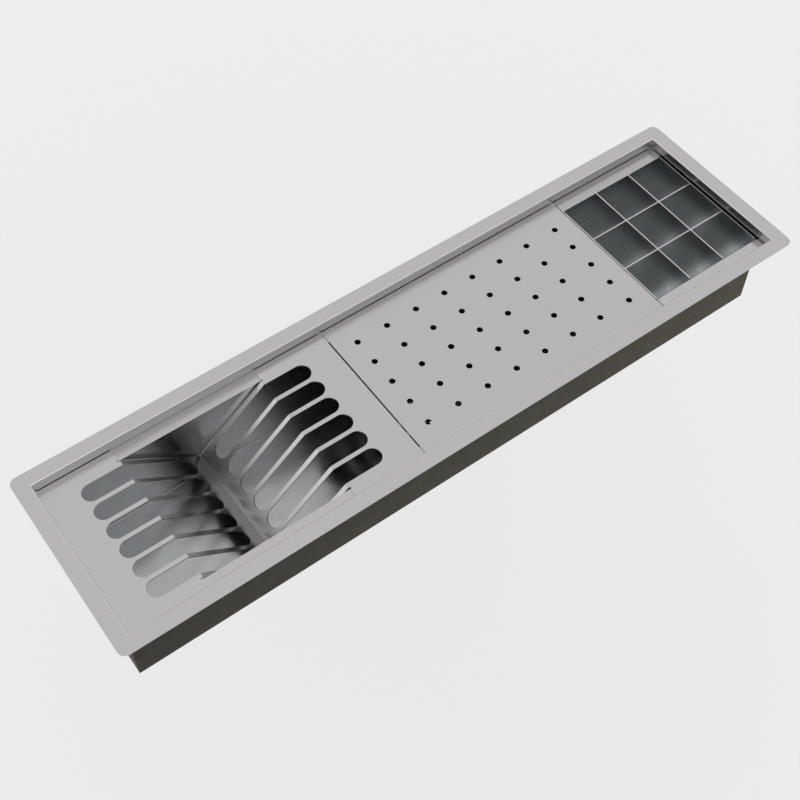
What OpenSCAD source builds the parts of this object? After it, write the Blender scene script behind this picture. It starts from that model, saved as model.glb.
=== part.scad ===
// Recessed wet trough for a kitchen worktop, all sizes in millimetres.
// X runs along the trough, Y from front to back, Z up. The origin is in the middle of the rim's underside,
// the face that rests on the worktop around its cut-out.

/* [Rim] */
// Length of the rim
rim_length = 1000; // [850:5:1300]
// Width of the rim
rim_width = 270; // [240:1:330]
// Width of the flat land around the recess
rim_land = 20.5; // [12:0.5:30]
// Outer corner radius of the rim
rim_corner_r = 10; // [2:1:12]
// Drop from the rim's top face to the ledges that carry the inserts
seat_drop = 17; // [10:0.5:30]
// Width of each of the two long ledges
ledge_width = 18.5; // [12:0.5:26]
// Thickness of the trough sheet
trough_sheet = 1.2; // [0.8:0.1:2]
// Inside radius of the bends at the rim and the ledges
rim_bend_r = 0.6; // [0.3:0.1:1.5]

/* [Tank] */
// Depth of the tank, from the rim's top face to its outer underside
tank_depth = 135; // [115:1:200]
// Inside radius of the two long bottom bends
tank_bend_r = 1; // [1:0.5:8]

/* [Inserts] */
// Thickness of the insert sheets
insert_sheet = 1.5; // [1:0.1:2.5]
// Gap between an insert and the recess wall at the front and at the back
insert_side_gap = 1; // [0.5:0.1:3]
// Corner radius of the insert sheets, seen from above
insert_corner_r = 5; // [1:0.5:10]
// Gap between the left recess end and the plate rack
gap_left = 1.3; // [0.5:0.1:4]
// Gap between the plate rack and the drip cover
gap_rack_cover = 2; // [0.5:0.1:4]
// Gap between the drip cover and the divided box
gap_cover_box = 1.3; // [0.5:0.1:4]
// Gap between the divided box and the right recess end
gap_right = 2.5; // [0.5:0.1:4]

/* [Plate rack] */
// Length of the plate rack
rack_length = 397; // [350:1:440]
// Length of the V of the rack at deck level, from fold to fold
rack_v_length = 197.3; // [160:1:230]
// Depth of the V below the deck
rack_v_depth = 80.5; // [40:0.5:90]
// Gap between the V and the tank wall on each side
rack_v_gap = 2; // [1:0.5:6]
// Inside radius of the rack's folds
rack_fold_r = 1.5; // [0.5:0.5:4]
// Width of a plate slot
slot_width = 24.6; // [12:0.1:34]
// Width of the strip left between two slots
slot_strip = 5.6; // [4:0.1:14]
// Distance from the rack's short edge to the tips of the slots
slot_deck_margin = 40.6; // [25:0.5:60]
// Width of the band left whole on each slope, from the bottom fold to the slot tips
slot_bottom_band = 19; // [10:1:35]
// Radius of the relief notch at each end of a deck fold
fold_relief_r = 2; // [1:0.5:4]

/* [Drip cover] */
// Diameter of a drain hole in the cover
hole_d = 8.2; // [4:0.1:14]
// Distance between two columns of holes
hole_pitch_x = 45.4; // [25:0.1:70]
// Distance between two rows of holes
hole_pitch_y = 37.2; // [20:0.1:60]
// Distance from the cover's short edges to the nearest holes
hole_end_margin = 28.7; // [15:0.1:45]
// Least distance from the tank wall to the centre of a hole
hole_side_margin = 12; // [10:1:30]

/* [Divided box] */
// Length of the divided box
box_length = 176.5; // [130:0.5:220]
// Depth of the box below the deck
box_depth = 52; // [40:1:95]
// Gap between the box and the tank wall on each side
box_wall_gap = 1; // [0.5:0.1:4]
// Thickness of the end plates and the dividers
divider_sheet = 1.2; // [0.8:0.1:2]
// Number of cells along the box
cells_x = 3; // [2:1:4]
// Number of cells across the box
cells_y = 3; // [2:1:4]
// Inside radius of the box's bends
box_bend_r = 1; // [0.5:0.5:3]
// Play of each half-lap joint between two dividers
lap_play = 0.2; // [0.1:0.1:0.6]

/* [Drain] */
// Place of the drain along the trough, from its middle
drain_x = 0; // [-40:1:200]
// Outer diameter of the drain shank, a 1 1/2 inch pipe thread
shank_d = 47.8; // [46:0.1:60]
// Wall thickness of the shank
shank_wall = 2.4; // [1.5:0.1:4]
// Length of the shank below the drain flange
shank_length = 24; // [23:1:50]
// Outer diameter of the plain spigot that the trap slides on
spigot_d = 40; // [32:0.5:42]
// Wall thickness of the spigot
spigot_wall = 2; // [1.5:0.1:3]
// Length of the spigot
spigot_length = 36; // [20:1:80]
// Outer diameter of the drain flange
drain_flange_d = 72; // [66:1:90]
// Thickness of the drain flange
drain_flange_t = 2.5; // [2:0.1:4]
// Depth of the pressed seat around the drain
seat_depth = 4; // [2:0.5:8]
// Width of the sloping wall of the pressed seat
seat_slope = 4; // [2:0.5:8]
// Gap between the drain flange and the foot of the pressed seat's slope
seat_gap = 2; // [1:0.5:5]
// Gap between the shank and the rings around it
shank_play = 0.3; // [0.2:0.1:1]
// Thickness of the gasket above the tank floor
upper_gasket_t = 1; // [0.5:0.1:3]
// Thickness of the gasket below the tank floor
lower_gasket_t = 3; // [1:0.5:5]
// Thickness of the slip washer
washer_t = 1; // [0.5:0.1:3]
// Height of the lock nut
nut_height = 10; // [6:1:16]
// Width across the flats of the lock nut
nut_flats = 62; // [58:1:74]

/* [Strainer] */
// Thickness of the strainer sheet
strainer_sheet = 0.8; // [0.5:0.1:1.2]
// Width of the strainer's rim on its seat
strainer_rim = 3; // [2.5:0.1:3.5]
// Play of the strainer in the drain
strainer_play = 0.5; // [0.3:0.1:1]
// Depth of the strainer cup
strainer_depth = 14; // [8:1:20]
// Corner radius between the cup's wall and its floor
strainer_corner_r = 3; // [1:0.5:5]
// Diameter of a strainer hole
strainer_hole_d = 3.2; // [2:0.1:4]
// Number of holes in the inner ring, and half of the number in the outer ring
strainer_holes = 8; // [6:1:10]
// Radius of the knob
knob_r = 7; // [5:0.5:9]
// Height of the knob's head
knob_head_h = 6; // [4:0.5:10]
// Radius of the knob's stem
stem_r = 2.5; // [1.5:0.5:4]
// Height of the knob's head above the strainer rim
knob_rise = 4; // [2:0.5:10]

/* [Hidden] */
$fn = 64;
cut = 1;
// Number of flats in the round of each bend
bend_steps = 6;

// Levels
rim_top = trough_sheet;
ledge_top = rim_top - seat_drop;
ledge_under = ledge_top - trough_sheet;
deck_top = ledge_top + insert_sheet;
deck_middle = deck_top - insert_sheet / 2;
tank_under = rim_top - tank_depth;
tank_floor = tank_under + trough_sheet;

// Widths and lengths of the openings
recess_length = rim_length - 2 * rim_land;
recess_width = rim_width - 2 * rim_land;
tank_width = recess_width - 2 * ledge_width;
insert_width = recess_width - 2 * insert_side_gap;

// Places of the inserts along the trough
rack_start = -recess_length / 2 + gap_left;
rack_middle = rack_start + rack_length / 2;
cover_start = rack_start + rack_length + gap_rack_cover;
box_end = recess_length / 2 - gap_right;
box_start = box_end - box_length;
cover_length = box_start - gap_cover_box - cover_start;

// Plate rack
rack_v_width = tank_width - 2 * rack_v_gap;
rack_v_half = rack_v_length / 2;
rack_slope = atan(rack_v_depth / rack_v_half);
deck_length = (rack_length - rack_v_length) / 2;
slot_pitch = slot_width + slot_strip;
slot_count = floor((rack_v_width - slot_strip) / slot_pitch);

// Drip cover
hole_steps = floor((cover_length - 2 * hole_end_margin) / hole_pitch_x);
hole_columns = [for (i = [0 : hole_steps - 1]) hole_end_margin + i * hole_pitch_x,
    cover_length - hole_end_margin];
hole_side_rows = floor((tank_width / 2 - hole_side_margin) / hole_pitch_y);

// Divided box
box_width = tank_width - 2 * box_wall_gap;
box_inner_width = box_width - 2 * insert_sheet;
box_inner_length = box_length - 2 * divider_sheet;
box_under = deck_top - box_depth;
box_floor = box_under + insert_sheet;
divider_height = deck_top - box_floor;
cell_pitch_x = (box_inner_length + divider_sheet) / cells_x;
cell_pitch_y = (box_inner_width + divider_sheet) / cells_y;

// Drain
shank_r = shank_d / 2;
drain_bore_r = shank_r - shank_wall;
spigot_r = spigot_d / 2;
spigot_bore_r = spigot_r - spigot_wall;
ring_bore_r = shank_r + shank_play;
seat_floor = tank_floor - seat_depth;
seat_under = seat_floor - trough_sheet;
seat_r = drain_flange_d / 2 + seat_gap;
flange_under = seat_floor + upper_gasket_t;
flange_top = flange_under + drain_flange_t;
flange_edge_r = drain_flange_t * 0.6;
shank_under = flange_under - shank_length;
lower_gasket_r = seat_r - seat_gap;
washer_under = seat_under - lower_gasket_t - washer_t;

// Strainer
strainer_r = drain_bore_r - strainer_play;
strainer_rim_r = strainer_r + strainer_rim;
rim_seat = flange_top - 2 * strainer_sheet;
strainer_floor = rim_seat + strainer_sheet - strainer_depth;
knob_top = flange_top + knob_rise + knob_head_h;

// Plane of a sheet profile that runs along Y: its x is the trough's X and its y is Z
module across(width) {
    translate([0, width / 2, 0]) rotate([90, 0, 0]) linear_extrude(width) children();
}

// Plane of a sheet profile that runs along X: its x is the trough's Y and its y is Z
module along(length) {
    translate([-length / 2, 0, 0]) rotate([90, 0, 90]) linear_extrude(length) children();
}

// Rectangle with four round corners, centred
module rounded_rect(length, width, r) {
    square([length - 2 * r, width], center = true);
    square([length, width - 2 * r], center = true);
    for (x = [-1, 1], y = [-1, 1])
        translate([x * (length / 2 - r), y * (width / 2 - r)]) circle(r);
}

// Upright plate standing on y = 0, centred, with round bottom corners
module round_foot_plate(width, height, r) {
    translate([-width / 2, r]) square([width, height - r]);
    translate([-width / 2 + r, 0]) square([width - 2 * r, height - r]);
    for (x = [-1, 1]) translate([x * (width / 2 - r), r]) circle(r);
}

// Angle of the line from a to b
function heading(a, b) = atan2(b.y - a.y, b.x - a.x);

// Signed angle of the bend at point i of a path, from -180 to 180
function bend_angle(path, i) =
    let (turn = heading(path[i], path[i + 1]) - heading(path[i - 1], path[i]))
    turn > 180 ? turn - 360 : turn < -180 ? turn + 360 : turn;

// Points of the bend at point i of a path, on the sheet's left face (side 1) or its right face (side -1)
function bend_points(path, i, thickness, inside_r, side) =
    let (angle = bend_angle(path, i), turn = sign(angle), middle_r = inside_r + thickness / 2,
        start = heading(path[i - 1], path[i]), take = middle_r * tan(abs(angle) / 2),
        centre = path[i] - take * [cos(start), sin(start)] + turn * middle_r * [-sin(start), cos(start)],
        r = turn == side ? inside_r : inside_r + thickness)
    [for (k = [0 : bend_steps])
        let (a = start + angle * k / bend_steps - turn * 90) centre + r * [cos(a), sin(a)]];

// Corner of the sheet beside the end point p of a path, across a heading
function end_corner(p, direction, thickness, side) =
    p + side * thickness / 2 * [-sin(direction), cos(direction)];

// Profile of a folded sheet: a path of straights along the middle of the sheet, with round bends
module folded_sheet(path, thickness, inside_r) {
    last = len(path) - 1;
    first_way = heading(path[0], path[1]);
    last_way = heading(path[last - 1], path[last]);
    polygon([end_corner(path[0], first_way, thickness, 1),
        for (i = [1 : last - 1]) each bend_points(path, i, thickness, inside_r, 1),
        end_corner(path[last], last_way, thickness, 1),
        end_corner(path[last], last_way, thickness, -1),
        for (i = [last - 1 : -1 : 1], points = [bend_points(path, i, thickness, inside_r, -1)])
            each [for (k = [bend_steps : -1 : 0]) points[k]],
        end_corner(path[0], first_way, thickness, -1)]);
}

// Flat ring, centred, standing on z
module ring(outer_r, inner_r, height, z) {
    translate([drain_x, 0, z]) difference() {
        cylinder(r = outer_r, h = height);
        translate([0, 0, -cut]) cylinder(r = inner_r, h = height + 2 * cut);
    }
}

// Keeps what lies on one long side of the recess, with its ends mitred outwards from the recess corners
module long_side_mitre(reach) {
    l = recess_length / 2;
    w = recess_width / 2;
    intersection() {
        children();
        translate([0, 0, -tank_depth]) linear_extrude(2 * tank_depth)
            polygon([[-l, 0], [l, 0], [l, w], [l + reach, w + reach], [-l - reach, w + reach], [-l, w]]);
    }
}

// Keeps what lies on one short side of the recess, mitred in the same way
module short_side_mitre(reach) {
    l = recess_length / 2;
    w = recess_width / 2;
    intersection() {
        children();
        translate([0, 0, -tank_depth]) linear_extrude(2 * tank_depth)
            polygon([[l, -w], [l + reach, -w - reach], [l + reach, w + reach], [l, w]]);
    }
}

// Rim with the four recess walls and the two long ledges
module rim_frame() {
    bend_reach = rim_bend_r + trough_sheet;
    mitre_reach = rim_land / 2;
    half_sheet = trough_sheet / 2;
    wall_y = recess_width / 2 + half_sheet;
    wall_x = recess_length / 2 + half_sheet;
    color("silver") {
        linear_extrude(trough_sheet) difference() {
            rounded_rect(rim_length, rim_width, rim_corner_r);
            square([recess_length + 2 * bend_reach, recess_width + 2 * bend_reach], center = true);
        }
        for (side = [0, 1]) mirror([0, side, 0]) long_side_mitre(mitre_reach) along(rim_length)
            folded_sheet([[recess_width / 2 + mitre_reach, half_sheet], [wall_y, half_sheet],
                [wall_y, ledge_top - half_sheet], [tank_width / 2, ledge_top - half_sheet]],
                trough_sheet, rim_bend_r);
        for (side = [0, 1]) mirror([side, 0, 0]) short_side_mitre(mitre_reach) across(rim_width)
            folded_sheet([[recess_length / 2 + mitre_reach, half_sheet], [wall_x, half_sheet],
                [wall_x, ledge_under]], trough_sheet, rim_bend_r);
    }
}

// Folded channel of the tank, with the pressed seat of the drain in its floor
module tank_trough() {
    half_sheet = trough_sheet / 2;
    wall_y = tank_width / 2 + half_sheet;
    color("silver") {
        difference() {
            along(recess_length)
                folded_sheet([[-wall_y, ledge_under], [-wall_y, tank_floor - half_sheet],
                    [wall_y, tank_floor - half_sheet], [wall_y, ledge_under]], trough_sheet, tank_bend_r);
            translate([drain_x, 0, tank_under - cut])
                cylinder(r = seat_r + seat_slope, h = trough_sheet + 2 * cut);
        }
        translate([drain_x, 0, 0]) rotate_extrude() drain_seat_profile();
    }
}

// Half section of the pressed seat: a sloping wall down to a flat floor around the drain hole
module drain_seat_profile() {
    polygon([[ring_bore_r, seat_floor], [seat_r, seat_floor], [seat_r + seat_slope, tank_floor],
        [seat_r + 2 * seat_slope, tank_floor], [seat_r + 2 * seat_slope, tank_under],
        [seat_r + seat_slope, tank_under], [seat_r, seat_under], [ring_bore_r, seat_under]]);
}

// End plate of the tank, under the end wall of the recess
module tank_end() {
    color("silver") translate([recess_length / 2, 0, tank_under]) rotate([90, 0, 90])
        linear_extrude(trough_sheet)
            round_foot_plate(tank_width + 2 * trough_sheet, ledge_under - tank_under,
                tank_bend_r + trough_sheet);
}

module tank_end_left() {
    mirror([1, 0, 0]) tank_end();
}

module tank_end_right() {
    tank_end();
}

// Plate rack: one sheet folded into a V between two decks, with slots that run over both deck folds
module plate_rack() {
    color("silver") translate([rack_middle, 0, 0]) difference() {
        union() {
            across(rack_v_width)
                folded_sheet([[-rack_length / 2 + insert_corner_r, deck_middle], [-rack_v_half, deck_middle],
                    [0, deck_middle - rack_v_depth], [rack_v_half, deck_middle],
                    [rack_length / 2 - insert_corner_r, deck_middle]], insert_sheet, rack_fold_r);
            for (side = [0, 1]) mirror([side, 0, 0]) rack_deck();
        }
        for (i = [0 : slot_count - 1], side = [0, 1])
            translate([0, (i - (slot_count - 1) / 2) * slot_pitch, 0]) mirror([side, 0, 0]) plate_slot();
    }
}

// Right deck of the rack, full width, with four round corners and a relief notch at each end of its
// fold. Between the notches it starts behind the fold, on the straight of the folded sheet.
module rack_deck() {
    flat_length = deck_length - (rack_fold_r + insert_sheet / 2) * tan(rack_slope / 2);
    fold_x = rack_length / 2 - flat_length;
    translate([0, 0, ledge_top]) linear_extrude(insert_sheet) difference() {
        translate([fold_x + flat_length / 2, 0])
            rounded_rect(flat_length, insert_width, insert_corner_r);
        for (y = [-1, 1]) translate([fold_x, y * (rack_v_width / 2 + fold_relief_r)])
            circle(fold_relief_r);
        translate([fold_x, 0])
            square([2 * fold_relief_r, rack_v_width + 2 * fold_relief_r], center = true);
    }
}

// Cutter of the right half of one slot: a round end in the deck, a straight run over the fold,
// and a round end square to the slope
module plate_slot() {
    r = slot_width / 2;
    deck_end = rack_length / 2 - slot_deck_margin - r;
    slope_run = slot_bottom_band + r;
    slope_end = slope_run * cos(rack_slope);
    deep = rack_v_depth + insert_sheet;
    translate([deck_end, 0, deck_top - deep]) cylinder(r = r, h = deep + cut);
    translate([slope_end, -r, deck_top - deep - cut])
        cube([deck_end - slope_end, slot_width, deep + 2 * cut]);
    translate([0, 0, deck_middle - rack_v_depth]) rotate([0, -rack_slope, 0])
        translate([slope_run, 0, -insert_sheet - cut]) cylinder(r = r, h = 2 * (insert_sheet + cut));
}

// Flat cover over the open part of the tank, with a field of drain holes
module drip_cover() {
    color("silver") translate([cover_start, 0, ledge_top]) linear_extrude(insert_sheet) difference() {
        translate([cover_length / 2, 0]) rounded_rect(cover_length, insert_width, insert_corner_r);
        for (x = hole_columns, row = [-hole_side_rows : hole_side_rows])
            translate([x, row * hole_pitch_y]) circle(d = hole_d);
    }
}

// Folded body of the divided box: two wings on the ledges, two walls and a floor
module box_trough() {
    half_sheet = insert_sheet / 2;
    wall_y = box_width / 2 - half_sheet;
    color("silver") translate([box_start + box_length / 2, 0, 0]) intersection() {
        along(box_length)
            folded_sheet([[-insert_width / 2, deck_middle], [-wall_y, deck_middle],
                [-wall_y, box_under + half_sheet], [wall_y, box_under + half_sheet],
                [wall_y, deck_middle], [insert_width / 2, deck_middle]], insert_sheet, box_bend_r);
        translate([0, 0, box_under - cut]) linear_extrude(box_depth + 2 * cut)
            rounded_rect(box_length, insert_width, insert_corner_r);
    }
}

// Upright plate across the box, its near face at a place along the trough
module box_cross_plate(x) {
    color("silver") translate([x, 0, box_floor]) rotate([90, 0, 90]) linear_extrude(divider_sheet)
        round_foot_plate(box_inner_width, divider_height, box_bend_r);
}

module box_end_left() {
    box_cross_plate(box_start);
}

module box_end_right() {
    box_cross_plate(box_end - divider_sheet);
}

// Half-lap notches of one divider, in its own plane: one at each of the places given
module lap_notches(places, from, to) {
    for (place = places)
        translate([place - divider_sheet / 2 - lap_play / 2, from])
            square([divider_sheet + lap_play, to - from]);
}

// Middles of the dividers, counted from the middle of the box
function divider_places(cells, pitch) = [for (i = [1 : cells - 1]) (i - cells / 2) * pitch];

// Divider across the box, notched from below
module divider_cross(i) {
    middle = box_start + box_length / 2 + divider_places(cells_x, cell_pitch_x)[i];
    color("silver") translate([middle - divider_sheet / 2, 0, box_floor]) rotate([90, 0, 90])
        linear_extrude(divider_sheet) difference() {
            round_foot_plate(box_inner_width, divider_height, box_bend_r);
            lap_notches(divider_places(cells_y, cell_pitch_y), -cut, (divider_height + lap_play) / 2);
        }
}

// Divider along the box, notched from above
module divider_long(i) {
    middle = divider_places(cells_y, cell_pitch_y)[i];
    color("silver") translate([box_start + box_length / 2, middle + divider_sheet / 2, box_floor])
        rotate([90, 0, 0]) linear_extrude(divider_sheet) difference() {
            translate([-box_inner_length / 2, 0]) square([box_inner_length, divider_height]);
            lap_notches(divider_places(cells_x, cell_pitch_x), (divider_height - lap_play) / 2,
                divider_height + cut);
        }
}

module divider_long_front() {
    divider_long(0);
}

module divider_long_back() {
    divider_long(cells_y - 2);
}

module divider_cross_left() {
    divider_cross(0);
}

module divider_cross_right() {
    divider_cross(cells_x - 2);
}

// Turned drain body: a flange with a round edge and a stepped seat for the strainer, a shank that
// passes the tank floor, and a funnel into the plain spigot
module drain_body() {
    flange_r = drain_flange_d / 2;
    step_r = strainer_rim_r + strainer_play;
    color("gainsboro") translate([drain_x, 0, 0]) rotate_extrude() difference() {
        polygon([[drain_bore_r, rim_seat], [step_r, rim_seat], [step_r, flange_top],
            [flange_r, flange_top], [flange_r, flange_under], [shank_r, flange_under],
            [shank_r, shank_under], [spigot_r, shank_under], [spigot_r, shank_under - spigot_length],
            [spigot_bore_r, shank_under - spigot_length], [spigot_bore_r, shank_under],
            [drain_bore_r, shank_under + drain_bore_r - spigot_bore_r]]);
        translate([flange_r - flange_edge_r, flange_top - flange_edge_r]) difference() {
            square(flange_edge_r + cut);
            circle(flange_edge_r);
        }
    }
}

module drain_gasket_upper() {
    color("dimgray") ring(drain_flange_d / 2 - flange_edge_r, ring_bore_r, upper_gasket_t, seat_floor);
}

module drain_gasket_lower() {
    color("dimgray") ring(lower_gasket_r, ring_bore_r, lower_gasket_t, seat_under - lower_gasket_t);
}

module drain_slip_washer() {
    color("white") ring(nut_flats / 2, ring_bore_r, washer_t, washer_under);
}

// Six-sided lock nut that clamps the drain to the tank floor
module drain_lock_nut() {
    color("whitesmoke") translate([drain_x, 0, washer_under - nut_height]) difference() {
        linear_extrude(nut_height) circle(r = nut_flats / 2 / cos(30), $fn = 6);
        translate([0, 0, -cut]) cylinder(r = ring_bore_r, h = nut_height + 2 * cut);
    }
}

// Half section of the strainer cup, from its middle to its rim
module strainer_profile() {
    inner_r = strainer_r - strainer_sheet;
    outer_corner_r = strainer_corner_r + strainer_sheet;
    rim_top_z = rim_seat + strainer_sheet;
    difference() {
        union() {
            translate([0, strainer_floor]) square([strainer_r - outer_corner_r, strainer_depth]);
            translate([0, strainer_floor + outer_corner_r])
                square([strainer_r, strainer_depth - outer_corner_r]);
            intersection() {
                translate([strainer_r - outer_corner_r, strainer_floor + outer_corner_r])
                    circle(outer_corner_r);
                translate([0, strainer_floor]) square([strainer_r, strainer_depth]);
            }
            translate([0, rim_seat]) square([strainer_rim_r, strainer_sheet]);
        }
        translate([-cut, strainer_floor + strainer_sheet])
            square([inner_r - strainer_corner_r + cut, strainer_depth]);
        translate([-cut, strainer_floor + outer_corner_r])
            square([inner_r + cut, strainer_depth]);
        translate([inner_r - strainer_corner_r, strainer_floor + outer_corner_r])
            circle(strainer_corner_r);
    }
}

// Lift-out strainer: a thin cup with a rim, and two rings of holes in its floor
module drain_strainer() {
    inner_ring_r = strainer_r * 0.45;
    outer_ring_r = strainer_r * 0.72;
    color("gainsboro") translate([drain_x, 0, 0]) difference() {
        rotate_extrude() strainer_profile();
        for (i = [0 : strainer_holes - 1]) rotate(i * 360 / strainer_holes)
            translate([inner_ring_r, 0, strainer_floor - cut])
                cylinder(d = strainer_hole_d, h = strainer_sheet + 2 * cut);
        for (i = [0 : 2 * strainer_holes - 1]) rotate((i + 0.5) * 180 / strainer_holes)
            translate([outer_ring_r, 0, strainer_floor - cut])
                cylinder(d = strainer_hole_d, h = strainer_sheet + 2 * cut);
    }
}

// Turned knob that stands on the strainer's floor
module strainer_knob() {
    foot = strainer_floor + strainer_sheet;
    edge_r = knob_head_h / 3;
    color("gainsboro") translate([drain_x, 0, 0]) rotate_extrude() {
        translate([0, foot]) square([stem_r, knob_top - foot - edge_r]);
        translate([0, knob_top - knob_head_h]) square([knob_r - edge_r, knob_head_h]);
        translate([0, knob_top - knob_head_h + edge_r]) square([knob_r, knob_head_h - 2 * edge_r]);
        for (z = [knob_top - edge_r, knob_top - knob_head_h + edge_r])
            translate([knob_r - edge_r, z]) circle(edge_r);
    }
}

rim_frame();
tank_trough();
tank_end_left();
tank_end_right();
plate_rack();
drip_cover();
box_trough();
box_end_left();
box_end_right();
divider_long_front();
divider_long_back();
divider_cross_left();
divider_cross_right();
drain_body();
drain_gasket_upper();
drain_gasket_lower();
drain_slip_washer();
drain_lock_nut();
drain_strainer();
strainer_knob();
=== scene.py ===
import math

import bmesh
import bpy
from bpy.props import FloatProperty, FloatVectorProperty, IntProperty, PointerProperty
from bpy.types import Operator, Panel, PropertyGroup
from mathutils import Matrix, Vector


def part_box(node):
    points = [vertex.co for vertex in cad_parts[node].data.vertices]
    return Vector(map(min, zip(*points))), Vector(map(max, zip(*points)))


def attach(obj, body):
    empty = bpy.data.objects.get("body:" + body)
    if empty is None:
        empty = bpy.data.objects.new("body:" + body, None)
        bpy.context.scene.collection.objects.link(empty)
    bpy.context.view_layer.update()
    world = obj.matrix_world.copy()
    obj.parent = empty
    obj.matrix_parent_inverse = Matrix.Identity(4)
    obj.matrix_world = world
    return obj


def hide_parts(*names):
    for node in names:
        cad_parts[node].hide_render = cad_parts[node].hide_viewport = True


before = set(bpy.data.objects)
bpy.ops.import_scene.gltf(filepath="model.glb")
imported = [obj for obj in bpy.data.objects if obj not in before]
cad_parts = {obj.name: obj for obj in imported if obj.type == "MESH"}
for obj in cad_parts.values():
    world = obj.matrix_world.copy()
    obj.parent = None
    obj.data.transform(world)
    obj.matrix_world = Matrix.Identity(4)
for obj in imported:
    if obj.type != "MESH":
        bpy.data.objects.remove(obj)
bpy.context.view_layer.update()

bl_info = {
    "name": "Recessed Wet Trough",
    "version": (1, 0, 0),
    "blender": (4, 5, 0),
    "location": "3D View > Sidebar > Wet Trough",
    "description": "Finishes and fine detail of a recessed steel trough with three lift-out inserts",
    "category": "Object",
}

# Sizes that the CAD model has and its boxes don't give
INSERT_SHEET = 0.0015
DIVIDER_SHEET = 0.0012
RIM_LAND = 0.0205
CELL_ROWS = 3

# Marks of the CAD model that the finishes and the added pieces follow
RIM_LOW, RIM_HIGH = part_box("rim_frame")
RECESS_X, RECESS_Y = RIM_HIGH.x - RIM_LAND, RIM_HIGH.y - RIM_LAND
TANK_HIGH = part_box("tank_trough")[1]
END_LOW, END_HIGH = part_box("tank_end_right")
RACK_LOW, RACK_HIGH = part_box("plate_rack")
RACK_MIDDLE = (RACK_LOW.x + RACK_HIGH.x) / 2
LEDGE_TOP = RACK_HIGH.z - INSERT_SHEET
BOX_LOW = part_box("box_trough")[0]
CELLS_LOW, CELLS_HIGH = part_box("box_end_left")
DRAIN_LOW, DRAIN_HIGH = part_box("drain_body")
DRAIN_CENTRE = Vector(((DRAIN_LOW.x + DRAIN_HIGH.x) / 2, (DRAIN_LOW.y + DRAIN_HIGH.y) / 2, 0.0))


class StageSettings(PropertyGroup):
    """Camera, floor and light."""

    camera_place: FloatVectorProperty(
        name="Camera Place",
        description="Where the camera stands, from the middle of the rim's underside",
        default=(-0.59656, -0.76972, 1.29888), size=3, subtype="TRANSLATION", unit="LENGTH")
    camera_azimuth: FloatProperty(
        name="Camera Azimuth", description="Turn of the camera about the vertical, 0 looks to the back",
        default=math.radians(-35.93), subtype="ANGLE", unit="ROTATION")
    camera_elevation: FloatProperty(
        name="Camera Elevation", description="Angle of the camera above the horizon",
        default=math.radians(55.12), subtype="ANGLE", unit="ROTATION")
    focal_length: FloatProperty(
        name="Focal Length", description="Focal length on a 36 mm sensor, in millimetres",
        default=59.24, min=10, max=300)
    backdrop: FloatVectorProperty(
        name="Backdrop", description="Colour of the surroundings",
        default=(0.831, 0.831, 0.831), size=3, subtype="COLOR", min=0, max=1)
    overhead: FloatProperty(
        name="Overhead Light",
        description="How much brighter the surroundings are overhead than at the horizon",
        default=1.34, min=0)
    floor_glow: FloatProperty(
        name="Floor Glow",
        description="Share of the backdrop's brightness that the floor gives off itself",
        default=0.6, min=0, max=1, subtype="FACTOR")
    floor_drop: FloatProperty(
        name="Floor Drop", description="Height of the rim above the floor",
        default=0.8, min=0.2, subtype="DISTANCE", unit="LENGTH")
    floor_reach: FloatProperty(
        name="Floor Reach", description="Half of the floor's side",
        default=9.0, min=1, subtype="DISTANCE", unit="LENGTH")
    sun_strength: FloatProperty(
        name="Soft Light", description="Strength of the wide soft light",
        default=0.35, min=0)


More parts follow.
